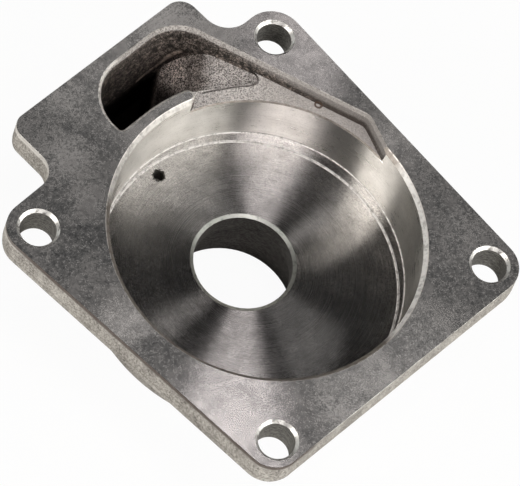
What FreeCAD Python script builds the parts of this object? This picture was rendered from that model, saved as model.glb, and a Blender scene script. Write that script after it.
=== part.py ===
import FreeCAD, Part
import math
import os

os.makedirs("parts", exist_ok=True)
V = FreeCAD.Vector

# Heights, measured down from the gasket face
TOTAL_H = 63.5
PLATE_T = 12.5
POCKET_D = 26.8
FLOOR_T = 6.7
SHELF_D = 6.3
PORT_D = 42.0
CASING_H = 52.0
SEAL_LAND_END = 34.5
CHAMBER_END = 41.0

# Machined circles
POCKET_R = 50.0
RIM_CHAMFER = 1.45
FACING_R = 49.2
FACING_D = 0.3
FACING_X = 0.9
FACING_Y = -3.0
SEAL_R = 16.3
SEAL_CHAMFER = 1.2
CHAMBER_R = 19.5
BEARING_R = 23.1
HOLE_R = 5.75
HOLE_CHAMFER = 1.0
SPOT_R = 9.3
SPOT_D = 1.0
PIN_R = 1.7
PIN_D = 5.0
DRILL_POINT = 31.0
PIN_X = -43.9
WEEP_R = 2.5
WEEP_ANGLE = 134.69
OUTLET_R = 10.5

# Shaft axis in the drawing, whose origin is the pocket axis, and the turn that lays
# the two bolt diagonals along X and Y
SHAFT_X = -3.8
SHAFT_Y = -0.66
TURN = -44.69

# The four bolt holes, from the shaft axis along the bolt diagonals
BOLT_Y_TOP = 68.6
BOLT_Y_BOTTOM = -72.9
BOLT_COLUMN_X = 5.4
BOLT_X_LEFT = -68.9
BOLT_X_RIGHT = 74.25
BOLT_ROW_Y = -7.9

# Cast walls
SHELL_WALL = 6.2
SHELL_EDGE_R = 9.0
SHELL_EDGE_STEPS = 6
BOSS_R = 30.0
BOSS_FLARE = 7.0
BOSS_CHAMFER = 1.5
CASING_WALL = 5.2
CASING_EDGE_R = 5.0
OUTLET_WALL = 4.8
OUTLET_X = -63.5
OUTLET_Y = -0.5
RIB_T = 6.0
RIB_REACH = 42.0
RIB_END = 51.0
RIB_ANGLES = (30, 90, 270, 330)
PLATE_DRAFT = 3.0
PARTING_D = 8.0
PORT_DRAFT = 1.5
CASING_DRAFT = 2.0
FOOT_R = 2.4
PORT_EDGE = 0.9
SHELF_EDGE = 0.5

# Outline of the plate: corner x, corner y, corner radius
OUTLINE = [
    (-79.05, 39.5, 6.0), (-58.35, 39.5, 9.0), (-58.35, 62.6, 10.2), (64.6, 54.88, 9.6),
    (59.3, -57.92, 9.1), (-57.0, -64.7, 9.2), (-57.5, -36.6, 7.0), (-79.6, -36.6, 5.0)]

# Outline of the port: corner x, corner y, corner radius
VOLUTE_SLOPE = 0.362
PORT_LEFT = -74.2
PORT_FOOT = -10.9
PORT_RIGHT = -55.3
PORT = [
    (PORT_LEFT, 30.46, 14.0), (PORT_LEFT, PORT_FOOT, 15.9), (PORT_RIGHT, PORT_FOOT, 1.5),
    (PORT_RIGHT, 0.0, 0.0), (-51.5, 12.0, 0.0), (-52.6, 16.2, 0.0), (-53.2, 18.9, 0.0),
    (-39.0, 43.2, 2.4)]

# Outline of the casing's core side, before its wall is added
CASING = PORT[:2] + [(-48.0, PORT_FOOT, 1.0), (-48.0, 28.0, 4.0), (-57.0, 36.69, 4.0)]

# Outline of the shallow volute shelf
SHELF = [
    (-66.0, 33.43, 0.0), (-52.6, 16.2, 0.0), (-51.5, 12.0, 0.0), (-40.0, 8.0, 0.0),
    (0.0, 35.0, 0.0), (6.0, 49.5, 0.0), (-7.6, 54.6, 4.0)]

# Cut-water tongue between the pocket and the port
TONGUE_OUT_R = 55.3
TONGUE_TIP_ANGLE = 163.9
TONGUE_TIP_R = 2.4

# Ramp from the shelf down into the port
RAMP_X = -56.2
RAMP_Y = 30.0
RAMP_ANGLE = 220.1
RAMP_TOP_D = 8.6
RAMP_TOP_SLOPE = 4.0
RAMP_SLOPE = 45.0
RAMP_RUN = 14.0
RAMP_BACK = 40.0
RAMP_END_SLOPE = 80.0
RAMP_ROLL_R = 8.0
RAMP_GAP = 1.5
RAMP_GAP_D = 4.0
RAMP_WALL = 8.0

OVER = 1.0
FLOOR_Z = -POCKET_D - FACING_D
SHELL_BOTTOM = -POCKET_D - FLOOR_T
SHELL_R = POCKET_R + SHELL_WALL


def inset_corners(corners, inset):
    """Moves every side of a closed outline inwards and gives its new corners and radii."""
    count = len(corners)
    area = 0
    for i in range(count):
        area += corners[i - 1][0] * corners[i][1] - corners[i][0] * corners[i - 1][1]
    side = 1.0 if area > 0 else -1.0
    moved = []
    for i in range(count):
        x, y, r = corners[i]
        ax, ay = x - corners[i - 1][0], y - corners[i - 1][1]
        bx, by = corners[(i + 1) % count][0] - x, corners[(i + 1) % count][1] - y
        la, lb = math.hypot(ax, ay), math.hypot(bx, by)
        n1 = (-ay / la * side, ax / la * side)
        n2 = (-by / lb * side, bx / lb * side)
        bend = 1.0 + n1[0] * n2[0] + n1[1] * n2[1]
        convex = (ax * by - ay * bx) * side > 0
        radius = max(r - inset, 0.2) if convex else r + inset
        moved.append((x + inset * (n1[0] + n2[0]) / bend, y + inset * (n1[1] + n2[1]) / bend,
                      radius if r > 0 else 0.0))
    return moved


def rounded_wire(corners, z):
    """Closed wire through the corners, each rounded with its own radius."""
    count = len(corners)
    starts, mids, ends = [], [], []
    for i in range(count):
        x, y, r = corners[i]
        here = V(x, y, z)
        to_last = (V(corners[i - 1][0], corners[i - 1][1], z) - here).normalize()
        to_next = (V(corners[(i + 1) % count][0], corners[(i + 1) % count][1], z) - here).normalize()
        half = to_last.getAngle(to_next) / 2
        tangent = r / math.tan(half)
        middle = to_last + to_next
        reach = r / math.sin(half) - r
        starts.append(here + to_last * tangent)
        ends.append(here + to_next * tangent)
        mids.append(here + middle.normalize() * reach if r > 0 else here)
    edges = []
    for i in range(count):
        if corners[i][2] > 0:
            edges.append(Part.Arc(starts[i], mids[i], ends[i]).toShape())
        edges.append(Part.makeLine(ends[i], starts[(i + 1) % count]))
    return Part.Wire(edges)


def drafted(corners, z_top, inset_top, z_low, inset_low):
    """Solid between two heights whose outline shrinks from one inset to the other."""
    top = rounded_wire(inset_corners(corners, inset_top), z_top)
    low = rounded_wire(inset_corners(corners, inset_low), z_low)
    return Part.makeLoft([top, low], True, True)


def prism(corners, z_top, z_low):
    """Straight-sided solid between two heights."""
    return Part.Face(rounded_wire(corners, z_top)).extrude(V(0, 0, z_low - z_top))


def turned(points, x, y):
    """Solid of revolution of an (r, z) profile about the upright axis at x, y."""
    outline = Part.makePolygon([V(x + r, y, z) for r, z in points + points[:1]])
    return Part.Face(outline).revolve(V(x, y, 0), V(0, 0, 1), 360)


def lean(height, degrees):
    """Sideways shift of a wall of that height and draft angle."""
    return height * math.tan(math.radians(degrees))


def bolt_points():
    """The four hole centres in the drawing."""
    a = math.radians(-TURN)
    across = [(BOLT_COLUMN_X, BOLT_Y_TOP), (BOLT_COLUMN_X, BOLT_Y_BOTTOM),
              (BOLT_X_LEFT, BOLT_ROW_Y), (BOLT_X_RIGHT, BOLT_ROW_Y)]
    return [(SHAFT_X + x * math.cos(a) - y * math.sin(a),
             SHAFT_Y + x * math.sin(a) + y * math.cos(a)) for x, y in across]


def plate():
    """Gasket plate: the measured outline, drafted both ways from the parting line."""
    flare = -lean(PARTING_D, PLATE_DRAFT)
    body = drafted(OUTLINE, 0, 0, -PARTING_D, flare)
    rear_inset = flare + lean(PLATE_T - PARTING_D, PLATE_DRAFT)
    body = body.fuse(drafted(OUTLINE, -PARTING_D, flare, -PLATE_T, rear_inset))
    rear = [e for e in body.Edges if abs(e.BoundBox.ZMax + PLATE_T) < 1e-6]
    return body.makeFillet(FOOT_R, rear)


def shell():
    """Round body behind the pocket, with a large cast edge radius."""
    low = SHELL_BOTTOM + SHELL_EDGE_R
    inner = SHELL_R - SHELL_EDGE_R
    profile = [(0, -OVER), (SHELL_R, -OVER), (SHELL_R, low)]
    for step in range(1, SHELL_EDGE_STEPS):
        a = math.pi / 2 * step / SHELL_EDGE_STEPS
        profile.append((inner + SHELL_EDGE_R * math.cos(a), low - SHELL_EDGE_R * math.sin(a)))
    return turned(profile + [(inner, SHELL_BOTTOM), (0, SHELL_BOTTOM)], 0, 0)


def boss():
    """Bearing boss on the shaft axis, its root coned out into the shell."""
    root = BOSS_R + BOSS_FLARE
    return turned([
        (0, SHELL_BOTTOM + OVER), (root, SHELL_BOTTOM + OVER), (root, SHELL_BOTTOM),
        (BOSS_R, SHELL_BOTTOM - BOSS_FLARE), (BOSS_R, BOSS_CHAMFER - TOTAL_H),
        (BOSS_R - BOSS_CHAMFER, -TOTAL_H), (0, -TOTAL_H)], SHAFT_X, SHAFT_Y)


def ribs():
    """Four gussets from the bearing boss out under the shell."""
    inner = BEARING_R + OVER
    profile = [
        (inner, SHELL_BOTTOM + OVER), (RIB_REACH, SHELL_BOTTOM + OVER), (RIB_REACH, SHELL_BOTTOM - OVER),
        (BOSS_R, -RIB_END), (inner, -RIB_END), (inner, SHELL_BOTTOM + OVER)]
    side = Part.Face(Part.makePolygon([V(r, -RIB_T / 2, z) for r, z in profile]))
    found = []
    for degrees in RIB_ANGLES:
        rib = side.extrude(V(0, RIB_T, 0))
        rib.rotate(V(0, 0, 0), V(0, 0, 1), degrees)
        rib.translate(V(SHAFT_X, SHAFT_Y, 0))
        found.append(rib)
    return found


def casing():
    """Drafted casing around the port, cut back to follow the ramp."""
    depth = CASING_H - OVER
    body = drafted(CASING, -OVER, -CASING_WALL, -CASING_H, lean(depth, CASING_DRAFT) - CASING_WALL)
    rear = [e for e in body.Edges if abs(e.BoundBox.ZMax + CASING_H) < 1e-6]
    return body.makeFillet(CASING_EDGE_R, rear).cut(ramp(RAMP_WALL))


def outlet_boss():
    """Short spigot round the outlet bore behind the casing."""
    outer = OUTLET_R + OUTLET_WALL
    low = CASING_H + BOSS_CHAMFER
    return Part.makeCylinder(outer, low - PLATE_T, V(OUTLET_X, OUTLET_Y, -low))


def pocket():
    """Impeller pocket with its rim chamfer and the shallow facing cut of its floor."""
    bowl = turned([(0, OVER), (POCKET_R + RIM_CHAMFER + OVER, OVER), (POCKET_R, -RIM_CHAMFER),
                   (POCKET_R, -POCKET_D), (0, -POCKET_D)], 0, 0)
    facing = Part.makeCylinder(FACING_R, FACING_D + OVER, V(FACING_X, FACING_Y, FLOOR_Z))
    inside = Part.makeCylinder(POCKET_R, POCKET_D + OVER, V(0, 0, -POCKET_D - OVER))
    return bowl.fuse(facing.common(inside))


def tongue():
    """Cut-water tongue left standing between the pocket and the port, wider downwards."""
    deep = PORT_D + OVER
    grow = lean(deep, PORT_DRAFT)
    ring = Part.makeCone(TONGUE_OUT_R + grow, TONGUE_OUT_R, deep, V(0, 0, -deep), V(0, 0, 1))
    edge = Part.makeCone(TONGUE_OUT_R, TONGUE_OUT_R - PORT_EDGE, PORT_EDGE, V(0, 0, -PORT_EDGE), V(0, 0, 1))
    ring = ring.cut(Part.makeCylinder(TONGUE_OUT_R + OVER, 2 * OVER, V(0, 0, -PORT_EDGE))).fuse(edge)
    mid_r = TONGUE_OUT_R - TONGUE_TIP_R
    a = math.radians(TONGUE_TIP_ANGLE)
    tip = V(mid_r * math.cos(a), mid_r * math.sin(a), -deep)
    swing = Part.makePolygon([
        V(0, 0, -deep), V(2 * tip.x, 2 * tip.y, -deep), V(2 * tip.x, -POCKET_R, -deep),
        V(0, -POCKET_R, -deep), V(0, 0, -deep)])
    arm = ring.common(Part.Face(swing).extrude(V(0, 0, 2 * deep)))
    nose = Part.makeCone(TONGUE_TIP_R + grow, TONGUE_TIP_R, deep - PORT_EDGE, tip, V(0, 0, 1))
    crown = tip + V(0, 0, deep - PORT_EDGE)
    brow = Part.makeCone(TONGUE_TIP_R, TONGUE_TIP_R - PORT_EDGE, PORT_EDGE, crown, V(0, 0, 1))
    return arm.fuse([nose, brow])


def ramp(drop):
    """Ramp body: a profile of two slopes and a steep end, rolled over with arcs."""
    low = 2 * PORT_D
    crest = RAMP_TOP_D + drop
    foot = crest + lean(RAMP_RUN, RAMP_SLOPE)
    corners = [
        (-RAMP_BACK, lean(RAMP_BACK, RAMP_TOP_SLOPE) - crest, 0), (0, -crest, RAMP_ROLL_R),
        (RAMP_RUN, -foot, RAMP_ROLL_R),
        (RAMP_RUN + (low - foot) / lean(1, RAMP_END_SLOPE), -low, 0), (-RAMP_BACK, -low, 0)]
    solid = Part.Face(rounded_wire(corners, 0)).extrude(V(0, 0, 2 * RAMP_BACK))
    solid.translate(V(0, 0, -RAMP_BACK))
    solid.rotate(V(0, 0, 0), V(1, 0, 0), 90)
    solid.rotate(V(0, 0, 0), V(0, 0, 1), RAMP_ANGLE)
    solid.translate(V(RAMP_X, RAMP_Y, 0))
    return solid


def waterway():
    """Port and shelf: everything the core leaves open outside the pocket."""
    well = drafted(PORT, OVER, -lean(OVER, PORT_DRAFT), -PORT_D, lean(PORT_D, PORT_DRAFT))
    low_edge = lean(PORT_EDGE, PORT_DRAFT)
    well_edge = drafted(PORT, OVER, -PORT_EDGE - OVER, -PORT_EDGE, low_edge)
    a = math.atan(VOLUTE_SLOPE)
    kept = well.copy()
    kept.translate(V(RAMP_GAP * math.cos(a), RAMP_GAP * math.sin(a), 0))
    well = well.cut(ramp(0).common(kept)).cut(ramp(RAMP_GAP_D))
    shelf = drafted(SHELF, OVER, -lean(OVER, PORT_DRAFT), -SHELF_D, lean(SHELF_D, PORT_DRAFT))
    shelf_edge = drafted(SHELF, OVER, -PORT_EDGE - OVER, -PORT_EDGE, low_edge)
    brink = V(0, 0, -SHELF_D - SHELF_EDGE)
    lip = Part.makeCone(POCKET_R, POCKET_R + SHELF_EDGE, SHELF_EDGE, brink, V(0, 0, 1))
    lip = lip.common(prism(SHELF, 0, -POCKET_D))
    return well.fuse([well_edge, shelf, shelf_edge]).cut(tongue()).fuse(lip)


def shaft_bore():
    """Seal land with its mouth chamfer, drain chamber and bearing seat."""
    return turned([
        (0, FLOOR_Z + OVER), (SEAL_R + SEAL_CHAMFER, FLOOR_Z + OVER), (SEAL_R + SEAL_CHAMFER, FLOOR_Z),
        (SEAL_R, FLOOR_Z - SEAL_CHAMFER / 2), (SEAL_R, -SEAL_LAND_END), (CHAMBER_R, -SEAL_LAND_END),
        (CHAMBER_R, -CHAMBER_END), (BEARING_R, -CHAMBER_END), (BEARING_R, -TOTAL_H - OVER),
        (0, -TOTAL_H - OVER)], SHAFT_X, SHAFT_Y)


def bolt_hole(x, y):
    """Drilled hole, chamfered at the gasket face, spot-faced behind the plate."""
    mouth = HOLE_R + HOLE_CHAMFER
    return turned([
        (0, OVER), (mouth + OVER, OVER), (HOLE_R, -HOLE_CHAMFER), (HOLE_R, SPOT_D - PLATE_T),
        (SPOT_R, SPOT_D - PLATE_T), (SPOT_R, -PLATE_T - OVER), (0, -PLATE_T - OVER)], x, y)


def pin_hole():
    """Small blind drilled hole in the pocket floor, with its drill point."""
    low = FLOOR_Z - PIN_D
    tip = low - lean(PIN_R, DRILL_POINT)
    return turned([(0, FLOOR_Z + OVER), (PIN_R, FLOOR_Z + OVER), (PIN_R, low), (0, tip)], PIN_X, 0)


def weep_hole():
    """Tell-tale hole from the chamber between seal and bearing out through the boss."""
    start = V(SHAFT_X, SHAFT_Y, -(SEAL_LAND_END + CHAMBER_END) / 2 - OVER)
    a = math.radians(WEEP_ANGLE)
    return Part.makeCylinder(WEEP_R, BOSS_R + BOSS_FLARE, start, V(math.cos(a), math.sin(a), 0))


def outlet():
    """Outlet bore through the bottom of the port."""
    low = CASING_H + BOSS_CHAMFER + OVER
    return Part.makeCylinder(OUTLET_R, low - PORT_D + 2 * OVER, V(OUTLET_X, OUTLET_Y, -low))


def housing():
    """The casting with its machined surfaces, moved into the part's frame."""
    body = plate().fuse([shell(), boss(), casing(), outlet_boss()] + ribs())
    cuts = [pocket(), waterway(), shaft_bore(), pin_hole(), weep_hole(), outlet()]
    cuts += [bolt_hole(x, y) for x, y in bolt_points()]
    body = body.cut(cuts).removeSplitter()
    body.translate(V(-SHAFT_X, -SHAFT_Y, TOTAL_H))
    body.rotate(V(0, 0, 0), V(0, 0, 1), TURN)
    return body


result = housing()
print("solids", len(result.Solids), "valid", result.isValid(), "faces", len(result.Faces))
print("volume cm3", round(result.Volume / 1000, 1), "box", result.BoundBox)
result.Solids[0].exportStep("parts/pump_housing.step")
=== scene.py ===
# %% [markdown]
# # A cast water pump housing
# The part is one grey casting: a thick gasket plate with four bolt ears, a turned pocket
# for the impeller, a cored port beside it, and a bearing boss behind.
# The packed model gives the true solid. This file gives it its skins: milled, turned,
# drilled, shot-blasted and as-cast metal, each with its own grain.

# %% Load the packed housing
import math

import bmesh
import bpy
from mathutils import Matrix, Vector


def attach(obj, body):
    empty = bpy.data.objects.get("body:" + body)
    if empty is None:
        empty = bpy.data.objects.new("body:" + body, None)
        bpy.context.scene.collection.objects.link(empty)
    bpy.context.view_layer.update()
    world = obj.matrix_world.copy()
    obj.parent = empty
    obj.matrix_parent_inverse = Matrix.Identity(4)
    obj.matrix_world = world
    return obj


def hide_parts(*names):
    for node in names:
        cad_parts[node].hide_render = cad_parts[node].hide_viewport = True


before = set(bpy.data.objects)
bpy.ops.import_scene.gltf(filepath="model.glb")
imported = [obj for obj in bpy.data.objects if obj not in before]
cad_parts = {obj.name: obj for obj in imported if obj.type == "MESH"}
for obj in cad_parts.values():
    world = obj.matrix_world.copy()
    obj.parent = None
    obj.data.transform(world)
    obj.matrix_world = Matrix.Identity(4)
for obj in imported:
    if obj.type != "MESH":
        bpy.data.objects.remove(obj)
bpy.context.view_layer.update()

MM = 0.001


# %% [markdown]
# ## Places on the part
# Blender works in metres and the workshop in millimetres, so the places are named in
# millimetres and only turned into metres where Blender asks for them.
# The shaft runs along Z. The pocket's axis lies a little beside the shaft's, as it does in
# a pump whose volute is cut off centre, and the gasket face is the highest plane.

# %% Name the heights and the round features
FACE_Z = 63.5
PLATE_Z = FACE_Z - 12.5
FLOOR_Z = FACE_Z - 27.1
SHELF_Z = FACE_Z - 6.3
PORT_Z = FACE_Z - 42.0
PARTING_Z = FACE_Z - 8.0
SPIGOT_Z = 10.0
POCKET_AXIS = (3.166, -2.203)
POCKET_R = 50.0
RIM = 1.45
BOLTS = [(5.4, 68.6), (5.4, -72.9), (-68.9, -7.9), (74.25, -7.9)]
HOLE_R = 5.75
CHAMFER = 1.0
SPOT_R = 9.3
SPOT_DEPTH = 1.0
SEAL_R = 16.3
MOUTH_R = SEAL_R + 1.3
MOUTH_DEPTH = 0.7
BEARING_R = 23.1
print("gasket face at", FACE_Z, "pocket floor at", round(FLOOR_Z, 2), "port floor at", PORT_Z)

# %% [markdown]
# The housing was drawn square to its edges and then turned about the shaft, so the small
# hole, the outlet and the port are easier to name in that drawing. Two helpers lead from
# one frame to the other.

# %% The drawing's frame
TURN = math.radians(44.69)
SHAFT_DRAWN = (-3.8, -0.66)
PIN_DRAWN = (-43.9, 0.0)
PIN_R = 1.8
PIN_DEPTH = 7.0
OUTLET_DRAWN = (-63.5, -0.5)
OUTLET_R = 10.5
PORT_MIDDLE = (-64.5, 12.0)


def drawing(x, y):
    """A point of the part in the housing's own drawing, whose origin is the pocket axis."""
    c, s = math.cos(TURN), math.sin(TURN)
    return x * c - y * s + SHAFT_DRAWN[0], x * s + y * c + SHAFT_DRAWN[1]


def on_part(u, v):
    """A point of the drawing in the part's own frame, whose origin is the shaft axis."""
    c, s = math.cos(TURN), math.sin(TURN)
    u, v = u - SHAFT_DRAWN[0], v - SHAFT_DRAWN[1]
    return u * c + v * s, v * c - u * s


print("small hole on the part:", [round(v, 2) for v in on_part(*PIN_DRAWN)])

# %% [markdown]
# ## A skin over the solid
# Each triangle of the solid gets a finish from where it lies and which way it looks, as a
# machinist would mark a drawing. Painting the finishes by hand would be lost with the next
# change of the model, and rules aren't. The first rules are for what the drill and the
# lathe's tool can reach: the bolt holes and the pocket. SLACK and HAIR are how far, in mm,
# the middle of a triangle may stray from a round or a flat surface, and LEVEL and STEEP say
# how little it leans.

# %% Rules for the bolt holes and the pocket
FINISHES = ["milled", "floor", "wall", "rim", "chamfer", "mouth", "hole",
            "bore", "core", "cast", "rear", "worn", "nose", "edge"]
SLACK = 0.1
HAIR = 0.05
LEVEL = 0.99
STEEP = 0.9
CHAMFER_LEAN = (0.3, 0.95)
RIM_LEAN = (0.4, STEEP)


def near_bolt(z, normal, bolt):
    """The drilled hole, its chamfer and the spot face behind it."""
    if bolt > SPOT_R + SLACK or normal.z > LEVEL:
        return None
    outside = bolt > HOLE_R + 2 * SLACK or normal.z < -STEEP
    if z < PLATE_Z + SPOT_DEPTH + SLACK and outside:
        return "rear" if z > PLATE_Z + HAIR else None
    if bolt < HOLE_R + CHAMFER + SLACK and CHAMFER_LEAN[0] < normal.z < CHAMFER_LEAN[1]:
        return "chamfer"
    return "hole" if bolt < HOLE_R + SLACK else None


def in_pocket(z, normal, pocket):
    """The turned floor and wall, and the chamfer round the rim."""
    if pocket < POCKET_R + HAIR and z > FLOOR_Z - HAIR:
        return "floor" if normal.z > STEEP else "wall"
    sloped = pocket < POCKET_R + RIM + SLACK and RIM_LEAN[0] < normal.z < RIM_LEAN[1]
    if sloped and z > SHELF_Z - 0.6:
        return "rim" if z > FACE_Z - RIM - SLACK or z < SHELF_Z + SLACK else None
    return None


print("finishes:", len(FINISHES))

# %% [markdown]
# The waterway is what the sand core left: the port and the shelf along the pocket. Both are
# boxes in the drawing, with a slanted outer wall, and only surfaces that look into the
# water belong to them.

# %% Rule for the waterway
PORT_U = (-75.4, -38.0)
PORT_V = -12.5
SHELF_U = (-66.0, 8.0)
SHELF_V = 8.0
OUTER_START = 33.5
OUTER_SLOPE = 0.362


def is_waterway(u, v, z, normal):
    """True in the cored port and on the volute shelf: surfaces that look into the water."""
    turned = Vector(drawing(normal.x, normal.y)) - Vector(SHAFT_DRAWN)
    looks_in = Vector((PORT_MIDDLE[0] - u, PORT_MIDDLE[1] - v)).dot(turned) > 0
    outer = OUTER_START + OUTER_SLOPE * (u - SHELF_U[0])
    in_port = PORT_U[0] < u < PORT_U[1] and PORT_V < v < outer + 0.6 and z > PORT_Z - SLACK
    in_shelf = SHELF_U[0] < u < SHELF_U[1] and SHELF_V < v < outer + 1.2 and z > SHELF_Z - 1.0
    return in_shelf or (in_port and normal.z > -0.2 and (looks_in or normal.z > 0.4))


print("outer wall rises by", round(OUTER_SLOPE * (SHELF_U[1] - SHELF_U[0]), 1), "mm")

# %% [markdown]
# The rules are asked one after the other, from the surest to the least sure, and the first
# that answers wins. What no rule claims is plain casting.

# %% Ask the rules in order
def finish_of(centre, normal):
    """Which process made the surface at this point of the part, in mm."""
    x, y, z = centre
    place = drawing(x, y)
    shaft = math.hypot(x, y)
    if z > FACE_Z - 0.02 and normal.z > LEVEL:
        return "milled"
    bolt = min(math.dist((x, y), middle) for middle in BOLTS)
    found = near_bolt(z, normal, bolt) or in_pocket(z, normal, math.hypot(*place))
    if found:
        return found
    if shaft < MOUTH_R and z > FLOOR_Z - MOUTH_DEPTH:
        return "mouth"
    if shaft < BEARING_R + SLACK and HAIR < z < FLOOR_Z:
        return "bore"
    if math.dist(place, PIN_DRAWN) < PIN_R and z > FLOOR_Z - PIN_DEPTH:
        return "bore"
    in_outlet = math.dist(place, OUTLET_DRAWN) < OUTLET_R + HAIR
    if in_outlet and SPIGOT_Z + SLACK < z < PORT_Z - HAIR:
        return "bore"
    if z < HAIR or abs(z - SPIGOT_Z) < HAIR:
        return "rear"
    return "core" if is_waterway(*place, z, normal) else "cast"


print("on top of the plate:", finish_of((-60.0, 30.0, FACE_Z), Vector((0.0, 0.0, 1.0))))

# %% [markdown]
# The solid comes as loose triangles. A copy of it is welded, so that shading can run
# smoothly round the fillets and bores, and each of its triangles gets its finish.

# %% Weld a copy and sort its triangles
WELD = 0.002
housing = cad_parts["pump_housing"]
mesh = housing.data.copy()
bm = bmesh.new()
bm.from_mesh(mesh)
bmesh.ops.remove_doubles(bm, verts=bm.verts, dist=WELD * MM)
bm.normal_update()
for face in bm.faces:
    finish = finish_of(face.calc_center_median() / MM, face.normal)
    face.material_index = FINISHES.index(finish)
    face.smooth = True
print("welded triangles:", len(bm.faces))

# %% [markdown]
# Three sharp corners aren't sharp on the real part. Handling has worn the plate's outline to
# a hair-thin bright line, the port's mouth has a chipped edge, and the turning tool's nose
# leaves a small round where the pocket's floor meets its wall. A painted mask would blur at
# such a width, so small bevels make them real.

# %% Break the corners
WORN = 0.25
NOSE = 0.40
EDGE = 0.24


def break_corner(one, other, width, segments, name, clamp=True):
    """Bevels the edges between two finishes and gives the new faces a finish of their own."""
    pair = {FINISHES.index(one), FINISHES.index(other)}
    edges = [e for e in bm.edges if {f.material_index for f in e.link_faces} == pair]
    bmesh.ops.bevel(bm, geom=edges, offset=width * MM, segments=segments, profile=0.5,
                    affect="EDGES", clamp_overlap=clamp, material=FINISHES.index(name))
    bm.normal_update()
    return len(edges)


broken = {
    "worn": break_corner("milled", "cast", WORN, 1, "worn"),
    "nose": break_corner("floor", "wall", NOSE, 3, "nose", clamp=False),
    "edge": break_corner("milled", "core", EDGE, 1, "edge")}
print("bevelled edges:", broken)

# %% [markdown]
# A casting shades smoothly over its rounds. The shading breaks at true corners, where one
# finish meets the next, and along the line where the two halves of the mould met.

# %% Mark the sharp edges
CORNER = math.radians(28)
for edge in bm.edges:
    on_parting = all(abs(v.co.z / MM - PARTING_Z) < 0.02 for v in edge.verts)
    creased = len(edge.link_faces) != 2 or edge.calc_face_angle() > CORNER
    changes = len({f.material_index for f in edge.link_faces}) > 1
    edge.smooth = not (on_parting or creased or changes)
print("sharp edges:", sum(not edge.smooth for edge in bm.edges))

# %% [markdown]
# The welded mesh becomes one object with a material slot for each finish. The materials are
# empty here, and each gets its nodes in a cell of its own further down.

# %% Make the skin
indices = [face.material_index for face in bm.faces]
bm.to_mesh(mesh)
bm.free()
mesh.materials.clear()
for name in FINISHES:
    mesh.materials.append(bpy.data.materials.new(name))
for polygon, index in zip(mesh.polygons, indices):
    polygon.material_index = index
skin = bpy.data.objects.new("housing_skin", mesh)
bpy.context.scene.collection.objects.link(skin)
print("faces:", {name: indices.count(i) for i, name in enumerate(FINISHES)})

# %% [markdown]
# Where a large plane meets a small fillet, plain smooth shading bends the plane's light.
# Normals weighted by area keep the plane flat, and the modifier is applied, so that the
# mesh carries them wherever it goes.

# %% Weight the normals
weigh = skin.modifiers.new("weigh", "WEIGHTED_NORMAL")
weigh.mode = "FACE_AREA"
weigh.weight = 90
weigh.keep_sharp = True
evaluated = skin.evaluated_get(bpy.context.evaluated_depsgraph_get())
shaded = bpy.data.meshes.new_from_object(evaluated)
skin.modifiers.clear()
skin.data = shaded
skin.data.name = "housing_skin"
print("faces:", len(shaded.polygons), "custom normals:", shaded.has_custom_normals)

# %% [markdown]
# ## Shader maths as formulas
# A stain or a groove is a formula over the surface. Dozens of Math nodes placed by hand
# hide that formula, so one small class wraps a socket and overloads the operators that are
# used here, and a mask reads like a sum.

# %% Values that add like numbers


class Value:
    """A node's output that can be added and multiplied like a number."""

    def __init__(self, tree, socket):
        self.tree = tree
        self.socket = socket

    def math(self, operation, *others):
        """One Math node whose first input is this value."""
        inputs = {0: self}
        inputs.update({i + 1: other for i, other in enumerate(others)})
        return self.tree.node("ShaderNodeMath", {"operation": operation}, inputs)

    def __add__(self, other):
        return self.math("ADD", other)

    def __sub__(self, other):
        return self.math("SUBTRACT", other)

    def __mul__(self, other):
        return self.math("MULTIPLY", other)

    def __pow__(self, other):
        return self.math("POWER", other)

    def __rsub__(self, other):
        return self.math("MULTIPLY_ADD", -1.0, other)

    __radd__ = __add__
    __rmul__ = __mul__

    def rise(self, low, high):
        """0 below low, 1 above high, smooth between; falls if low is the larger."""
        return self.tree.node(
            "ShaderNodeMapRange", {"interpolation_type": "SMOOTHSTEP"},
            {0: self, 1: low, 2: high})


print("reflected operators:", [name for name in vars(Value) if name.startswith("__r")])

# %% [markdown]
# Every other node comes from one method that takes its type, its settings and its inputs.
# Colours and vectors have methods of their own, because a Math node would turn them grey.

# %% A tree that is written top to bottom


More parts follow.
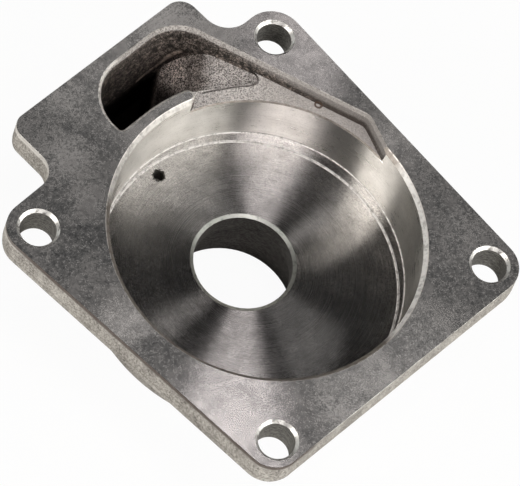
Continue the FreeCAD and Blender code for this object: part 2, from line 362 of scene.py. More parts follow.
class Tree:
    """A node tree and the methods that add to it."""

    def __init__(self, node_tree, title):
        self.graph = node_tree
        self.title = title
        node_tree.nodes.clear()

    def node(self, kind, settings=None, inputs=None, out=0):
        """Adds a node, first its settings and then its inputs. Gives back the output that
        out counts or names, or the node itself where it has none."""
        made = self.graph.nodes.new(kind)
        for key, value in (settings or {}).items():
            if key == "stops":
                self.fill_ramp(made.color_ramp.elements, value)
            else:
                setattr(made, key, value)
        for key, value in (inputs or {}).items():
            if isinstance(value, Value):
                self.graph.links.new(value.socket, made.inputs[key])
            else:
                made.inputs[key].default_value = value
        return Value(self, made.outputs[out]) if made.outputs else made

    def fill_ramp(self, ramp, stops):
        """Places the colours of a ramp, whose two end stops exist already."""
        for place, colour in stops[1:-1]:
            ramp.new(place).color = (*colour, 1)
        ramp[0].position, ramp[-1].position = stops[0][0], stops[-1][0]
        ramp[0].color, ramp[-1].color = (*stops[0][1], 1), (*stops[-1][1], 1)

    def mix(self, factor, a, b):
        """Colour a turned into colour b by factor."""
        a, b = ((*c, 1) if isinstance(c, tuple) else c for c in (a, b))
        return self.node("ShaderNodeMix", {"data_type": "RGBA"}, {0: factor, 6: a, 7: b}, out=2)

    def vector(self, operation, a, b=None, scale=None, out=0):
        """One Vector Math node."""
        inputs = {0: a}
        if b is not None:
            inputs[1] = b
        if scale is not None:
            inputs[3] = scale
        return self.node("ShaderNodeVectorMath", {"operation": operation}, inputs, out=out)

    def noise(self, at, scale, detail=3.0, rough=0.5, distort=0.0, shift=(0.0, 0.0, 0.0)):
        """Noise at a place in mm; shift moves it, so that two noises don't match."""
        return self.node("ShaderNodeTexNoise", {}, {
            "Vector": self.vector("ADD", at, shift), "Scale": scale, "Detail": detail,
            "Roughness": rough, "Distortion": distort})

    def tell(self):
        """Prints how large the tree has become."""
        print(self.title, "has", len(self.graph.nodes), "nodes")


print("tree methods:", [name for name in vars(Tree) if not name.startswith("_")])

# %% [markdown]
# ## Opening and closing a finish
# All finishes begin alike, with the point on the part in millimetres, and nearly all end
# alike, in one Principled shader. Relief too fine for the mesh goes through one bump.

# %% Open, bump and close
QUARTER_TURN = 0.25


def new_paint(name):
    """The tree of a finish's material and the point on the part in mm."""
    material = bpy.data.materials[name]
    material.use_nodes = True
    tree = Tree(material.node_tree, name)
    coords = tree.node("ShaderNodeTexCoord", out="Object")
    return tree, tree.vector("SCALE", coords, scale=1.0 / MM)


def bumped(tree, height, strength, reach):
    """A normal bent by a height of 0 to 1; reach is how deep it goes, in mm."""
    return tree.node("ShaderNodeBump", {}, {
        "Strength": strength, "Distance": reach * MM, "Height": height})


def close_paint(tree, colour, roughness, normal, metallic=1.0, anisotropic=0.0):
    """Ends a material in one Principled shader; the even values go on its own sockets."""
    inputs = {"Base Color": colour, "Roughness": roughness, "Metallic": metallic,
              "Anisotropic": anisotropic, "Anisotropic Rotation": QUARTER_TURN}
    if normal is not None:
        inputs["Normal"] = normal
    shader = tree.node("ShaderNodeBsdfPrincipled", {}, inputs)
    tree.node("ShaderNodeOutputMaterial", {}, {"Surface": shader})
    tree.tell()


print("a shader's point is the object's times", 1.0 / MM)

# %% [markdown]
# ## The milled gasket face
# Years of gasket and coolant have stained the facing cut to a cloudy dark grey with pepper
# in it, and only thin streaks of the bright cut still shine through. Noises of rising
# fineness give clouds, blots, grain, pits and pepper. One noise would look like camouflage.

# %% Stains of the milled face
def from_axis(tree, point, axis):
    """Distance from an upright axis, in mm."""
    off = tree.vector("SUBTRACT", point, (axis[0], axis[1], 0.0))
    return tree.vector("LENGTH", tree.vector("MULTIPLY", off, (1.0, 1.0, 0.0)), out="Value")


t, p = new_paint("milled")
clouds = t.noise(p, 0.06, detail=5.0, rough=0.62, distort=0.5)
blots = t.noise(p, 0.28, detail=4.0, rough=0.62, shift=(31.0, 7.0, 3.0))
grain = t.noise(p, 0.8, detail=4.0, rough=0.75)
pepper = t.noise(p, 2.1, detail=3.0, rough=0.75, shift=(9.0, 2.0, 5.0))
pits = t.noise(p, 1.5, detail=4.0, rough=0.8, shift=(1.0, 5.0, 2.0)).rise(0.54, 0.66)
stained = 0.5 + (clouds - 0.5) * 0.8 + (blots - 0.5) * 0.8
grainy = grain.rise(0.30, 0.70)
peppery = pepper.rise(0.30, 0.70)
tone = stained + 0.03 + (grainy - 0.5) * 0.26 + (peppery - 0.5) * 0.30 - pits * 0.22
t.tell()

# %% [markdown]
# The stain isn't the same all over. Some places are lighter and two are darker, and straight
# feed marks of the mill show faintly on one arm. Each is a soft round spot that was placed by
# comparing with the photograph.

# %% Lighter and darker places
# Round spots that make the face lighter, and two that make it darker.
LIGHTER_SPOTS = [(-31, 72, 14, 0.30), (-14, 70, 12, 0.34), (-61, 18, 14, 0.26), (-62, 38, 11, 0.20),
           (-54, 4, 9, 0.14), (66, 2, 13, 0.10), (23, -61, 11, 0.20)]
DARKER_SPOTS = [(-34, -42, 17), (50, -38, 15)]
FEED_MARKS = (-26, 74)
for x, y, reach, strength in LIGHTER_SPOTS:
    tone = tone + from_axis(t, p, (x, y)).rise(reach, 0.0) * strength
turned = t.node("ShaderNodeVectorRotate", {"rotation_type": "Z_AXIS"}, {
    "Vector": p, "Angle": TURN})
stretched = t.vector("MULTIPLY", turned, (1.7, 0.05, 1.0))
feed = t.noise(stretched, 1.0, detail=3.0, rough=0.6).rise(0.48, 0.66)
tone = tone + feed * from_axis(t, p, FEED_MARKS).rise(30.0, 12.0) * 0.16
for x, y, reach in DARKER_SPOTS:
    tone = tone - from_axis(t, p, (x, y)).rise(reach, 0.0) * 0.09
t.tell()

# %% [markdown]
# Stain is dull and the cut is bright, and no single shader is both. So two are mixed: a
# dull one whose colour follows the tone, and a bright one whose grooves spread the light.
# The grooves are noise that changes only with the radius, as a tool's marks do.

# %% Stain over bright metal
STAIN_RAMP = [(0.04, (0.012, 0.012, 0.013)), (0.26, (0.060, 0.062, 0.064)),
              (0.50, (0.215, 0.215, 0.212)), (0.76, (0.560, 0.545, 0.535))]
CUT_DIM = (0.82, 0.785, 0.775)
CUT_BRIGHT = (0.90, 0.865, 0.855)


def rings(tree, radius, per_mm, detail=2.0):
    """Noise that changes only with the radius, as the marks of a turning tool do."""
    return tree.node("ShaderNodeTexNoise", {"noise_dimensions": "1D"}, {
        "W": radius * per_mm, "Scale": 1.0, "Detail": detail, "Roughness": 0.6})


marks = rings(t, from_axis(t, p, POCKET_AXIS), 5.0)
relief = bumped(t, grain * 0.4 + pepper * 0.3 + marks * 0.3, 0.3, 0.03)
dull = t.node("ShaderNodeBsdfPrincipled", {}, {
    "Base Color": t.node("ShaderNodeValToRGB", {"stops": STAIN_RAMP}, {0: tone}),
    "Roughness": 0.62, "Metallic": 0.2, "Specular IOR Level": 0.4, "Normal": relief})
bright = t.node("ShaderNodeBsdfPrincipled", {}, {
    "Base Color": t.mix(grainy * 0.5 + peppery * 0.5, CUT_DIM, CUT_BRIGHT),
    "Roughness": 0.235 + clouds * 0.04, "Metallic": 1.0, "Anisotropic": 1.0,
    "Anisotropic Rotation": QUARTER_TURN})
cover = 0.59 + (stained - 0.5) * 0.8 - pits * 0.03
for x, y, reach in DARKER_SPOTS:
    cover = cover - from_axis(t, p, (x, y)).rise(reach, 0.0) * 0.14
both = t.node("ShaderNodeMixShader", {}, {0: cover, 1: dull, 2: bright})
t.node("ShaderNodeOutputMaterial", {}, {"Surface": both})
t.tell()

# %% [markdown]
# The plate's worn corner is bare metal where it was knocked and stain where it wasn't, and
# on the lower left side it is as grimy as the wall under it. It has faces of its own, so
# its colour needs no mask, only a noise along it.

# %% Worn corner of the plate
GRIMY_SIDE = (-0.70, -0.70, 0.0)
GRIMY_FROM = (30.0, 44.0)
KNOCKED = (0.80, 0.79, 0.76)


def toward(tree, point, direction):
    """How far a point lies in a direction, in mm from the shaft."""
    return tree.vector("DOT_PRODUCT", point, direction, out="Value")


t, p = new_paint("worn")
knocks = t.noise(p, 0.35, detail=4.0, rough=0.7)
colour = t.mix(knocks.rise(0.36, 0.56), (0.13, 0.12, 0.11), KNOCKED)
colour = t.mix(toward(t, p, GRIMY_SIDE).rise(*GRIMY_FROM), colour, (0.035, 0.028, 0.024))
close_paint(t, colour, 0.32 + knocks * 0.2, None, metallic=0.9)

# %% [markdown]
# The edge of the port has nicks, and on its inner side by the tongue a painted highlight makes
# it pale.
# That stretch is a broken line, and the distance from it is worked out for every point. It
# can follow any edge, which a round spot can't.

# %% Edge of the port, with a painted highlight by the tongue
# The stretch of edge that carries a painted highlight.
HIGHLIT_EDGE = [(-50.5, 50.0, FACE_Z), (-49.0, 36.0, FACE_Z), (-46.5, 33.0, FACE_Z),
           (-33.4, 38.0, FACE_Z), (-21.5, 45.5, FACE_Z)]
HIGHLIGHT_REACH = (9.0, 4.0)


def from_line(tree, point, ends):
    """Distance from a broken line through the given points, in mm."""
    nearest = None
    for start, end in zip(ends, ends[1:]):
        run = Vector(end) - Vector(start)
        off = tree.vector("SUBTRACT", point, start)
        dot = tree.vector("DOT_PRODUCT", off, tuple(run), out="Value")
        share = tree.node("ShaderNodeMath", {"operation": "DIVIDE", "use_clamp": True}, {
            0: dot, 1: run.length_squared})
        foot = tree.vector("SCALE", tuple(run), scale=share)
        gap = tree.vector("DISTANCE", off, foot, out="Value")
        nearest = gap if nearest is None else nearest.math("MINIMUM", gap)
    return nearest


t, p = new_paint("edge")
knocks = t.noise(p, 0.9, detail=4.0, rough=0.7)
knocked = knocks.rise(0.40, 0.55)
plain = t.mix(knocked, (0.20, 0.185, 0.17), (0.42, 0.40, 0.375))
# Pale colour of the painted highlight along the tongue's stretch of the edge.
highlight_colour = t.mix(knocked, (0.30, 0.28, 0.265), (0.86, 0.84, 0.81))
colour = t.mix(from_line(t, p, HIGHLIT_EDGE).rise(*HIGHLIGHT_REACH), plain, highlight_colour)
close_paint(t, colour, 0.40 + knocks * 0.2, None, metallic=0.6)

# %% [markdown]
# ## Turned metal
# The pocket is turned in one setting: its floor and wall carry fine circular grooves. Light
# spreads across grooves, not along them, so the shader is anisotropic, and the spread is
# turned a quarter so that bright sectors run out from the axis. The wall was cut last with
# a blunter tool, so it is rougher than the floor. Modelled grooves would need millions of
# faces for the same light.

# %% Turned floor: metal, haze and dullness
FLOOR_DIM = (0.60, 0.58, 0.57)
FLOOR_BRIGHT = (0.82, 0.79, 0.78)
FLOOR_DULL = (0.25, 0.24, 0.235)
t, p = new_paint("floor")
radius = from_axis(t, p, POCKET_AXIS)
fine = rings(t, radius, 9.0, detail=3.0)
wide = rings(t, radius, 0.9)
haze = t.noise(p, 0.07, detail=4.0, rough=0.6, shift=(5.0, 3.0, 0.0))
speck = t.noise(p, 1.8, detail=2.0, rough=0.6)
grain = t.noise(p, 1.9, detail=2.0, rough=0.7, shift=(4.0, 1.0, 0.0)).rise(0.34, 0.66)
smear = t.noise(p, 0.22, detail=5.0, rough=0.65, shift=(7.0, 1.0, 0.0)).rise(0.45, 0.70)
dull = fine.rise(0.35, 0.70) * 0.06 + speck.rise(0.40, 0.70) * 0.30 + grain * 0.52 + smear * 0.25
colour = t.mix(dull, t.mix(haze.rise(0.35, 0.65), FLOOR_DIM, FLOOR_BRIGHT), FLOOR_DULL)
t.tell()

# %% [markdown]
# Three things lie on the floor besides its grooves: a smudge of old coolant, lower left, a
# painted highlight with a little relief along the step of the shallow second cut, which is a
# little off centre, and the dirt that makes the small hole's edge ragged. The step is a circle,
# so its mask is the distance from an axis of its own.

# %% Turned floor: smudge, painted step highlight and small hole
STEP_AXIS = (1.695, -4.969)
STEP_R = 49.2
SMUDGE_AT = (-22, -18)
pin = on_part(*PIN_DRAWN)
smudge = t.noise(p, 0.45, detail=5.0, rough=0.7, distort=1.0, shift=(2.0, 6.0, 1.0))
smudge = smudge.rise(0.44, 0.58) * from_axis(t, p, SMUDGE_AT).rise(34.0, 12.0) * 0.45
colour = t.mix(smudge, colour, (0.16, 0.15, 0.142))
# Painted highlight along the step's circle; it also raises the relief a little.
step_highlight = (from_axis(t, p, STEP_AXIS) - STEP_R).math("ABSOLUTE").rise(0.30, 0.12)
colour = t.mix(step_highlight * 0.6, colour, (0.90, 0.88, 0.86))
ragged = (t.noise(p, 1.6, detail=3.0) - 0.5) * 2.2
ragged = from_axis(t, p, (pin[0] + 0.15, pin[1] + 0.30)) + ragged
colour = t.mix(ragged.rise(2.55, 1.95) * 0.96, colour, (0.012, 0.010, 0.008))
rough = 0.230 + fine.rise(0.40, 0.75) * 0.03 + haze * 0.05 + wide * 0.02
relief = bumped(t, fine * 0.7 + speck * 0.3 + step_highlight * 2.0, 0.2, 0.01)
close_paint(t, colour, rough, relief, metallic=1.0 - step_highlight * 0.6, anisotropic=1.0)

# %% [markdown]
# The wall's grooves run round it, one above the other, so the same noise is fed with the height
# instead of the radius. A thin dark line at its foot is a painted reflection.

# %% Turned wall
Z = 2
WALL_DIM = (0.78, 0.76, 0.72)
WALL_BRIGHT = (0.93, 0.91, 0.87)


def part_of(tree, vector, axis):
    """One coordinate of a vector."""
    return tree.node("ShaderNodeSeparateXYZ", {}, {0: vector}, out=axis)


t, p = new_paint("wall")
depth = part_of(t, p, Z)
fine = rings(t, depth, 7.0, detail=3.0)
wide = rings(t, depth, 1.1, detail=3.0)
haze = t.noise(p, 0.09, detail=4.0, rough=0.6, shift=(2.0, 8.0, 1.0))
speck = t.noise(p, 1.7, detail=2.0, rough=0.6)
colour = t.mix(haze.rise(0.35, 0.65), WALL_DIM, WALL_BRIGHT)
grooves = fine.rise(0.40, 0.70) * 0.16 + wide.rise(0.50, 0.75) * 0.14
colour = t.mix(grooves, colour, (0.30, 0.285, 0.26))
colour = t.mix(speck.rise(0.50, 0.75) * 0.25, colour, (0.22, 0.21, 0.19))
# Painted dark reflection in a thin line at the wall's foot.
foot_dark_reflection = depth.rise(FLOOR_Z + 0.95, FLOOR_Z + 0.65) * 0.75
colour = t.mix(foot_dark_reflection, colour, (0.06, 0.052, 0.048))
relief = bumped(t, fine * 0.6 + wide * 0.4, 0.25, 0.01)
close_paint(t, colour, 0.242 + wide * 0.03 + haze * 0.05, relief, anisotropic=1.0)

# %% [markdown]
# The round that the tool's nose left between floor and wall is too narrow for grooves. It
# reads as one pale line with nicks in it, so it is only a noise between two greys.

# %% Tool nose round at the foot of the wall
t, p = new_paint("nose")
nick = t.noise(p, 0.6, detail=4.0, rough=0.7)
colour = t.mix(nick.rise(0.35, 0.55), (0.42, 0.405, 0.39), (0.82, 0.80, 0.78))
close_paint(t, colour, 0.42 + nick * 0.1, None, metallic=0.35)

# %% [markdown]
# ## Chamfers, holes and bores
# The rim's chamfer is narrow and brown with use, with a painted highlight as a bright line at
# its outer edge. On the right, and by the tongue, a painted highlight makes it pale. Two broken
# lines say where, by the same helper that placed the port edge's highlight.

# %% Chamfer of the pocket's rim
# Where the chamfer gets its painted highlight: the right side and by the tongue.
HIGHLIT_ARC = [(52.0, 16.0, FACE_Z), (54.5, -2.0, FACE_Z), (48.0, -28.0, FACE_Z)]
TONGUE = [(-46.5, 12.0, FACE_Z), (-42.0, 22.9, FACE_Z), (-34.9, 33.0, FACE_Z),
          (-27.0, 39.3, FACE_Z)]
OUTER_R = POCKET_R + RIM
t, p = new_paint("rim")
nick = t.noise(p, 0.5, detail=4.0, rough=0.7)
# Painted highlight: a bright line at the chamfer's outer edge.
line = from_axis(t, p, POCKET_AXIS).rise(OUTER_R - 0.45, OUTER_R - 0.15)
brown = t.mix(nick.rise(0.35, 0.65), (0.20, 0.175, 0.155), (0.36, 0.33, 0.30))
# Pale colour of the painted highlight, with nicks.
glint_and_mottle = t.mix(nick.rise(0.35, 0.55), (0.55, 0.54, 0.52), (0.92, 0.91, 0.88))
tongue_highlight = from_line(t, p, TONGUE).rise(10.0, 4.0) * 0.5
painted_highlight = from_line(t, p, HIGHLIT_ARC).rise(14.0, 6.0).math("MAXIMUM", tongue_highlight)
colour = t.mix(painted_highlight, brown, glint_and_mottle)
colour = t.mix(line * nick.rise(0.35, 0.5), colour, (0.80, 0.76, 0.73))
relief = bumped(t, nick, 0.4, 0.08)
close_paint(t, colour, 0.42 + nick * 0.1, relief, metallic=0.8 - painted_highlight * 0.4, anisotropic=0.6)

# %% [markdown]
# The chamfers of the bolt holes are the freshest cuts on the part, and the seal bore's
# mouth is a darker one. They are the same cut with other colours, so one loop paints both.

# %% Chamfers of the bolt holes and mouth of the seal bore
CUTS = [("chamfer", (0.26, 0.25, 0.24), (0.78, 0.77, 0.75)),
        ("mouth", (0.24, 0.25, 0.225), (0.46, 0.47, 0.44))]
for name, worst, best in CUTS:
    t, p = new_paint(name)
    nick = t.noise(p, 0.7, detail=4.0, rough=0.7)
    colour = t.mix(nick.rise(0.34, 0.50), worst, best)
    relief = bumped(t, nick, 0.4, 0.08)
    close_paint(t, colour, 0.30 + nick * 0.2, relief, metallic=0.9, anisotropic=0.3)

# %% [markdown]
# The bolt holes are drilled and dull, and the bores behind are darker still. A drill scores in
# rings, so the noise is drawn out sideways and pressed together in height. A little way into the
# outlet, painted shade turns it black.

# %% Drilled holes and bores
DRILLED = [("hole", (0.08, 0.077, 0.071), (0.34, 0.333, 0.310), 0.45),
           ("bore", (0.06, 0.055, 0.05), (0.22, 0.21, 0.195), 0.40)]
OUTLET_SHADE = (0.004, 0.0035, 0.003)
outlet = on_part(*OUTLET_DRAWN)
for name, worst, best, rough in DRILLED:
    t, p = new_paint(name)
    score = t.noise(t.vector("MULTIPLY", p, (0.5, 0.5, 3.0)), 1.0, detail=3.0, rough=0.65)
    fleck = t.noise(p, 1.6, detail=2.0, rough=0.6)
    colour = t.mix((score * 0.6 + fleck * 0.4).rise(0.36, 0.64), worst, best)
    # Painted shade: black a little way into the outlet.
    in_outlet = from_axis(t, p, outlet).rise(OUTLET_R + 2.0, OUTLET_R + 1.0)
    colour = t.mix(in_outlet * part_of(t, p, Z).rise(11.0, 14.0), colour, OUTLET_SHADE)
    relief = bumped(t, score, 0.4, 0.06)
    close_paint(t, colour, rough + fleck * 0.2, relief, metallic=0.9, anisotropic=0.3)

# %% [markdown]
# ## The shot-blasted outside
# Steel shot leaves a fine even dimple with a beige-grey dust in it. Rounded Voronoi cells
# have that look, and a fine noise breaks their order. A faint ridge runs round where the
# two halves of the mould met.

# %% Shot-blasted skin
BLAST_RAMP = [(0.22, (0.120, 0.110, 0.098)), (0.50, (0.370, 0.350, 0.322)),
              (0.78, (0.620, 0.596, 0.555))]
t, p = new_paint("cast")
depth = part_of(t, p, Z)
dimples = t.node("ShaderNodeTexVoronoi", {"feature": "SMOOTH_F1"}, {
    "Vector": p, "Scale": 1.0, "Smoothness": 0.6})
fine = t.noise(p, 1.5, detail=3.0, rough=0.7)
streaks = t.noise(t.vector("MULTIPLY", p, (1.0, 1.0, 0.35)), 0.3, detail=4.0, rough=0.65)
broad = t.noise(p, 0.08, detail=4.0, rough=0.6)
tone = 0.5 + (fine - 0.5) * 1.5 + (streaks - 0.5) * 0.55 + (broad - 0.5) * 0.4
colour = t.node("ShaderNodeValToRGB", {"stops": BLAST_RAMP}, {0: tone})
ridge = (depth - PARTING_Z + (streaks - 0.5) * 0.5).math("ABSOLUTE").rise(0.55, 0.15)
colour = t.mix(ridge * 0.45, colour, (0.20, 0.18, 0.155))
t.tell()

# %% [markdown]
# It changes in three places. The top of the upper left side carries a painted highlight, the top
# of the lower left side is grimy, and below the plate painted shade darkens it, with broken
# lines of dirt. Each mask is a side or a height, and a noise frays its edge.

# %% Painted highlight, grime and painted shade of the skin
HIGHLIGHT_SIDE = (-0.85, 0.53, 0.0)
# Painted highlight near the top of the upper left side.
painted_highlight = toward(t, p, HIGHLIGHT_SIDE).rise(46.0, 60.0) * depth.rise(FACE_Z - 2.8, FACE_Z - 1.4)
colour = t.mix(painted_highlight * (0.7 + streaks * 0.5), colour, (0.96, 0.94, 0.90))
grimy = (depth + (fine - 0.5) * 0.8).rise(FACE_Z - 2.3, FACE_Z - 1.2)
grimy = toward(t, p, GRIMY_SIDE).rise(*GRIMY_FROM) * grimy
colour = t.mix(grimy * 0.85, colour, (0.085, 0.062, 0.052))
# Painted shade below the plate, with broken lines of dirt in it.
below = depth.rise(PLATE_Z - 0.2, PLATE_Z - 1.6)
lines = rings(t, depth + broad * 3.0, 1.4).rise(0.45, 0.65) * streaks.rise(0.40, 0.60)
colour = t.mix(below * (0.30 + lines * 0.25), colour, (0.130, 0.120, 0.108))
relief = bumped(t, dimples * 0.5 + fine * 0.5 + ridge * 0.8, 1.0, 0.25)
close_paint(t, colour, 0.62 + fine * 0.2, relief, metallic=0.35)

# %% [markdown]
# ## The sand-cored waterway
# A sand core left the port and its shelf coarse, and old coolant left them brown. Near the
# port the grains show one by one, and along the shelf they are finer, so a coarse and a
# soft noise are blended by the distance from the port.

# %% Sand grain
GRAIN_DARK = (0.27, 0.250, 0.235)
GRAIN_PALE = (0.80, 0.760, 0.735)
t, p = new_paint("core")
depth = part_of(t, p, Z)
from_port = from_axis(t, p, on_part(*PORT_MIDDLE))
near = from_port.rise(52.0, 26.0)
sand = t.node("ShaderNodeTexVoronoi", {"feature": "SMOOTH_F1"}, {
    "Vector": p, "Scale": 1.9, "Smoothness": 0.4})
grit = t.noise(p, 2.3, detail=2.0, rough=0.7)
lumps = t.noise(p, 1.2, detail=2.0, rough=0.7)
dust = t.noise(p, 4.0, detail=2.0, rough=0.6, shift=(3.0, 3.0, 3.0))
coarse = (grit * 0.75 + sand * 0.25 + lumps * 0.25 - 0.10).rise(0.39, 0.61)
soft = (dust * 0.6 + grit * 0.4).rise(0.25, 0.75)
mixed = soft + (coarse - soft) * near
pale = t.mix(mixed, GRAIN_DARK, GRAIN_PALE)
# Painted shade in the recess below the shelf's level, between the grains.
recess_shade = depth.rise(SHELF_Z - 0.2, SHELF_Z - 1.0) * (1.0 - coarse) * 0.7
pale = t.mix(recess_shade, pale, (0.090, 0.078, 0.070))
t.tell()

# %% [markdown]
# Painted shade darkens the walls more than the shelf and deepens the deeper the port goes, and
# the foot of the wall is darker too. What looks sideways counts as wall. The darker colour keeps
# the grain: only the grain's tips stay pale, which a power of the grain gives. Halfway down, a
# painted glint makes a band of the wall brighter than the rest.

# %% Painted shade on the walls and in the depth
BROWN = (0.018, 0.013, 0.011)
BROWN_TIP = (1.0, 0.88, 0.81)
GLINT_TOP = (50.5, 46.5)
GLINT_FOOT = (36.0, 41.0)
tilt = part_of(t, t.node("ShaderNodeNewGeometry", out="True Normal"), Z)
upright = tilt.math("ABSOLUTE").rise(0.55, 0.25)
stain = t.noise(p, 0.16, detail=4.0, rough=0.6)
mottle = t.noise(p, 0.5, detail=5.0, rough=0.75, shift=(6.0, 1.0, 9.0))
# A painted glint brightens a band halfway down.
painted_glint_band = depth.rise(*GLINT_TOP) * depth.rise(*GLINT_FOOT)
glint_and_mottle = (0.16 + painted_glint_band * 0.55 + mottle.rise(0.38, 0.60) * 0.35).math("MINIMUM", 1.0)
brown = t.mix(coarse ** 2.0 * glint_and_mottle, BROWN, BROWN_TIP)
# Painted shade on the walls, stronger near the port.
wall_shade = upright * depth.rise(FACE_Z - 0.8, FACE_Z - 2.0) * (0.30 + near * 0.70)
root = depth.rise(SHELF_Z + 3.8, SHELF_Z + 1.5) * upright
# Painted shade that deepens with depth, frayed by noise.
deep = depth.rise(FACE_Z - 6.5, FACE_Z - 13.0) * 1.1
deep = (deep + (stain - 0.5) * 1.1 + (grit - 0.5) * 0.5).rise(0.05, 0.75)
# Painted shade of the walls and the depth, and the darker foot of the wall.
darkening = wall_shade.math("MAXIMUM", root).math("MAXIMUM", deep)
colour = t.mix(darkening, pale, brown)
# Painted shade: walls away from the port turn a darker grey.
colour = t.mix(upright * (1.0 - near) * 0.45, colour, (0.14, 0.128, 0.120))
t.tell()

# %% [markdown]
# Three more shades follow the form. Away from the port the foot of the shelf's wall is nearly
# black, painted shade turns the port's own walls black in blots, and the sloped lip just under
# the gasket face is rubbed to a plain grey.

# %% Foot, painted shade on the port's walls, and lip
SHADE_BLACK = (0.006, 0.005, 0.004)
SHADE_BLACK_TIP = (0.42, 0.345, 0.30)
foot = root * (1.0 - near) * from_port.rise(84.0, 70.0)
colour = t.mix(foot * 0.80, colour, (0.050, 0.038, 0.032))
# Painted shade: the port's own walls turn black in blots.
port_wall_shade = upright * depth.rise(FACE_Z - 1.4, FACE_Z - 5.0) * from_port.rise(62.0, 40.0)
black = t.mix(coarse ** 1.6 * mottle.rise(0.40, 0.66), SHADE_BLACK, SHADE_BLACK_TIP)
colour = t.mix(port_wall_shade * 0.9, colour, black)
lip = tilt.rise(0.5, 0.6) * tilt.rise(0.9, 0.8) * depth.rise(SHELF_Z, FACE_Z - 1.0)
lip_grey = t.mix(mixed, (0.17, 0.154, 0.141), (0.39, 0.366, 0.346))
colour = t.mix(lip * 0.7, colour, lip_grey)
t.tell()

# %% [markdown]
# The photograph shows two single marks: a crease across the shelf, close to the port, painted
# dark as shade, and a thin ledge down the port's wall, as the joint of a core leaves it, with a
# painted highlight along its top and painted shade beside it. Both are broken lines, frayed by
# noise.
# Painted shade makes the port's deep end black, and the low part towards the tongue too. That
# painted shade also hides a floor that the photograph doesn't show.

# %% Crease, ledge and painted shade in the depth
CREASE = [(1.1, 56.6, SHELF_Z), (0.9, 54.9, SHELF_Z), (-1.2, 53.7, SHELF_Z),
          (-6.5, 52.5, SHELF_Z), (-13.1, 50.6, SHELF_Z), (-17.0, 49.2, SHELF_Z)]
LEDGE = [(-23.5, 68.4, 50.0), (-25.0, 68.4, 48.6), (-28.3, 67.9, 44.3), (-30.4, 67.1, 40.7),
         (-32.8, 65.7, 38.7), (-35.9, 62.9, 37.8)]
ACROSS = (math.sin(TURN), math.cos(TURN), 0.0)
DEPTH_SHADE_COLOUR = (0.003, 0.0025, 0.002)
crease = from_line(t, p, CREASE) + (stain - 0.5) * 0.5
ledge = from_line(t, p, LEDGE) + (stain - 0.5) * 1.0 + (grit - 0.5) * 1.6
# Painted shade along the crease.
colour = t.mix(crease.rise(0.50, 0.20) * 0.65, colour, (0.045, 0.036, 0.030))
# Painted shade low in the port, towards the tongue.
tucked = (toward(t, p, ACROSS) + (stain - 0.5) * 5.0).rise(26.5, 19.5)
tucked = tucked * depth.rise(54.0, 48.0) * tilt.rise(0.2, 0.5) * 0.9
# Painted shade: the port's deep end turns black.
depth_shade = tucked.math("MAXIMUM", depth.rise(FACE_Z - 23.0, FACE_Z - 31.0))
colour = t.mix(depth_shade, colour, DEPTH_SHADE_COLOUR)
# Painted shade in a band beside the ledge.
colour = t.mix(ledge.rise(2.6, 1.4) * 0.6, colour, (0.03, 0.022, 0.018))
# Painted highlight along the ledge's top.
ledge_highlight = ledge.rise(1.2, 0.3) * (0.25 + mottle.rise(0.40, 0.60) * 0.75)
colour = t.mix(ledge_highlight, colour, (0.60, 0.49, 0.42))
t.tell()

# %% [markdown]
# The painted highlight of the port's edge, broken by nicks, reaches a little down the lip, and a
# drop has dried to a small rust-brown ring on the shelf. A ring is the distance from a point,
# less the radius.
# Last, the grain, the crease and the ledge raise or sink the surface.

# %% Edge highlight, rust ring and relief of the port
RUST_AT = (21.0, 48.6, SHELF_Z)
RUST_R = 1.1
# Painted highlight, broken by nicks, reaching a little down the lip by the port's edge.
lip_highlight = lip * depth.rise(FACE_Z - 0.80, FACE_Z - 0.55)
lip_highlight = lip_highlight * from_line(t, p, HIGHLIT_EDGE).rise(*HIGHLIGHT_REACH)
colour = t.mix(lip_highlight * mottle.rise(0.36, 0.50), colour, (0.76, 0.73, 0.69))
rust = t.vector("DISTANCE", p, RUST_AT, out="Value") - RUST_R
rust = rust.math("ABSOLUTE") + (grit - 0.5) * 0.5
colour = t.mix(rust.rise(0.55, 0.2) * 0.85, colour, (0.09, 0.05, 0.03))
height = sand * 0.5 + grit * 0.5 - crease.rise(0.6, 0.1) * 0.8 + ledge.rise(1.2, 0.2) * 0.8
relief = bumped(t, height, 1.0, 0.40)
close_paint(t, colour, 0.50 + grit * 0.25, relief, metallic=0.4 + depth_shade * 0.6)

# %% [markdown]
# ## Rear faces
# The bearing boss's end, the outlet's end and the spot faces were turned or faced too. The
# photograph doesn't show them, so they are plain: grooves round the shaft and some haze.

# %% Plain turned rear faces
t, p = new_paint("rear")
marks = rings(t, from_axis(t, p, (0.0, 0.0)), 3.0)
dull = t.noise(p, 0.3, detail=3.0, rough=0.6)
colour = t.mix(dull * 0.6 + marks * 0.4, (0.27, 0.265, 0.26), (0.50, 0.49, 0.48))
close_paint(t, colour, 0.36 + dull * 0.1, bumped(t, marks, 0.25, 0.03), anisotropic=0.5)
print("materials:", [m.name for m in skin.data.materials])

# %% [markdown]
# ## The stage
# The part lies on a plain pale floor. To the camera the floor is nearly white and keeps a
# soft trace of the part's shadow, and the metal mirrors it as a lit matt surface. It lies
# a hair under the part, so that the two never share a plane.

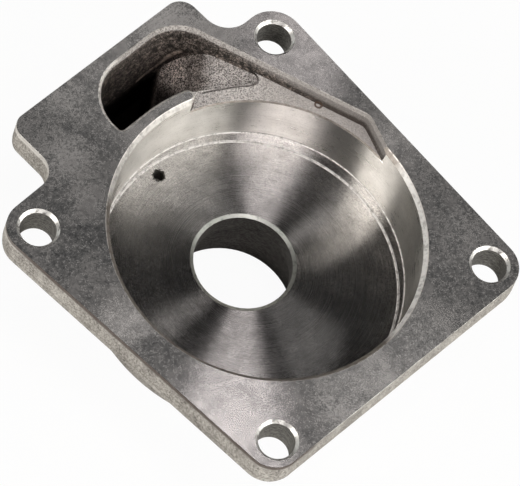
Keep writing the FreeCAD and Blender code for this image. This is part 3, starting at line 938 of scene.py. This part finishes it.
# %% Floor
FLOOR_HALF = 6.0
FLOOR_DROP = 0.2
WHITE_SHARE = 0.95
corners = [(-1, -1), (1, -1), (1, 1), (-1, 1)]
ground = bpy.data.meshes.new("floor")
ground.from_pydata([(x * FLOOR_HALF, y * FLOOR_HALF, -FLOOR_DROP * MM) for x, y in corners],
                   [], [(0, 1, 2, 3)])
floor = bpy.data.objects.new("floor", ground)
bpy.context.scene.collection.objects.link(floor)
pale_floor = bpy.data.materials.new("pale_floor")
pale_floor.use_nodes = True
t = Tree(pale_floor.node_tree, "floor")
seen = t.node("ShaderNodeLightPath", out="Is Camera Ray")
matt = t.node("ShaderNodeBsdfDiffuse", {}, {"Color": (0.82, 0.82, 0.81, 1)})
glow = t.node("ShaderNodeEmission", {}, {"Color": (1, 1, 1, 1), "Strength": 1.0})
shader = t.node("ShaderNodeMixShader", {}, {0: seen * WHITE_SHARE, 1: matt, 2: glow})
t.node("ShaderNodeOutputMaterial", {}, {"Surface": shader})
floor.data.materials.append(pale_floor)
t.tell()

# %% [markdown]
# Turned metal needs something dark to mirror between its lamps, or it looks like plaster.
# So the room above is nearly black and paler towards the horizon, and only the camera sees
# it white.

# %% Room
ROOM_DARK = (0.02, 0.02, 0.021)
ROOM_PALE = (0.45, 0.45, 0.45)
world = bpy.data.worlds.new("studio")
bpy.context.scene.world = world
world.use_nodes = True
t = Tree(world.node_tree, "room")
up = part_of(t, t.node("ShaderNodeTexCoord", out="Generated"), Z)
seen = t.node("ShaderNodeLightPath", out="Is Camera Ray")
room = t.mix(up.rise(0.20, 0.02), ROOM_DARK, ROOM_PALE)
shown = t.mix(seen, room, (1.0, 1.0, 1.0))
backing = t.node("ShaderNodeBackground", {}, {"Color": shown, "Strength": 1.0})
t.node("ShaderNodeOutputWorld", {}, {"Surface": backing})
t.tell()

# %% [markdown]
# ## Eight soft boxes
# Turned metal shows its lamps as sectors, so where the lamps stand decides where the bright
# sectors fall: five low boxes round the part, with dark gaps between them, and three high
# ones for the flat plate. A lamp's power follows from its brightness and its size, so that
# a box can be made wider without getting brighter.

# %% Lamps
CENTRE = Vector((0.0, 0.0, 0.045))
LAMP_DISTANCE = 1.3


def softbox(name, azimuth, elevation, width, height, glow, colour, lie=None):
    """A rectangular lamp that faces the part. Angles are in degrees and sizes in metres,
    glow is its brightness as seen in a mirror, and lie is the azimuth its height runs along."""
    a, e = math.radians(azimuth), math.radians(elevation)
    away = Vector((math.cos(a) * math.cos(e), math.sin(a) * math.cos(e), math.sin(e)))
    data = bpy.data.lights.new(name, "AREA")
    data.shape = "RECTANGLE"
    data.size, data.size_y = width, height
    data.energy = glow * math.pi * width * height
    data.color = colour
    lamp = bpy.data.objects.new(name, data)
    lamp.location = CENTRE + away * LAMP_DISTANCE
    lamp.rotation_mode = "QUATERNION"
    lamp.rotation_quaternion = away.to_track_quat("Z", "Y")
    if lie is not None:
        across = Vector((-math.sin(math.radians(lie)), math.cos(math.radians(lie)), 0))
        across = (across - away * across.dot(away)).normalized()
        axes = Matrix((across, away.cross(across), away)).transposed()
        lamp.rotation_quaternion = axes.to_quaternion()
    bpy.context.scene.collection.objects.link(lamp)


softbox("top_box", -74.5, 77.6, 0.42, 0.27, 14.9, (1.0, 0.955, 0.95), lie=78.5)
softbox("front_box", -97, 22, 0.46, 0.80, 2.5, (1.0, 0.96, 0.93))
softbox("left_box", 202, 23, 0.52, 0.66, 7.0, (1.0, 0.97, 0.92))
softbox("near_right_box", -42, 23, 0.93, 0.66, 4.8, (1.0, 0.985, 0.94))
softbox("far_right_box", -5, 23, 0.57, 0.66, 3.3, (1.0, 0.985, 0.94))
softbox("rear_low", 148, 8, 0.50, 0.20, 2.1, (0.96, 1.0, 0.95))
softbox("left_high", 184, 66, 0.22, 0.40, 4.4, (1.0, 0.97, 0.94), lie=220)
softbox("right_high", -3, 58, 0.55, 0.35, 1.9, (1.0, 0.985, 0.96), lie=307)

# %% [markdown]
# ## The camera
# It stands 0.84 m from the gasket face, 29 degrees off the shaft axis, with a long lens.
# Its place and its three axes were solved from the bolt holes, the pocket's circles and the
# plate's outline in the photograph, which is surer than turning it by eye.

# %% Camera
RIGHT = (0.98326932, -0.00321553, 0.18212934)
UP = (-0.08017301, 0.89015497, 0.44854925)
BACK = (-0.16356566, -0.45564657, 0.87500427)
STAND = (-0.1364488, -0.3879029, 0.7952985)
LENS = 185.77
camera_data = bpy.data.cameras.new("camera")
camera_data.sensor_width = 36.0
camera_data.sensor_fit = "HORIZONTAL"
camera_data.lens = LENS
camera_data.clip_start, camera_data.clip_end = 0.01, 50.0
camera = bpy.data.objects.new("camera", camera_data)
rows = [(*column, 0) for column in (RIGHT, UP, BACK)] + [(*STAND, 1)]
camera.matrix_world = Matrix(rows).transposed()
bpy.context.scene.collection.objects.link(camera)
bpy.context.scene.camera = camera
bpy.context.scene.view_settings.view_transform = "Standard"
print("camera at", [round(v, 3) for v in camera.location])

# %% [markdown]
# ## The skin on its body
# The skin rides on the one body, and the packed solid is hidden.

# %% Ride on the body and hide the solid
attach(skin, "root")
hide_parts("pump_housing")
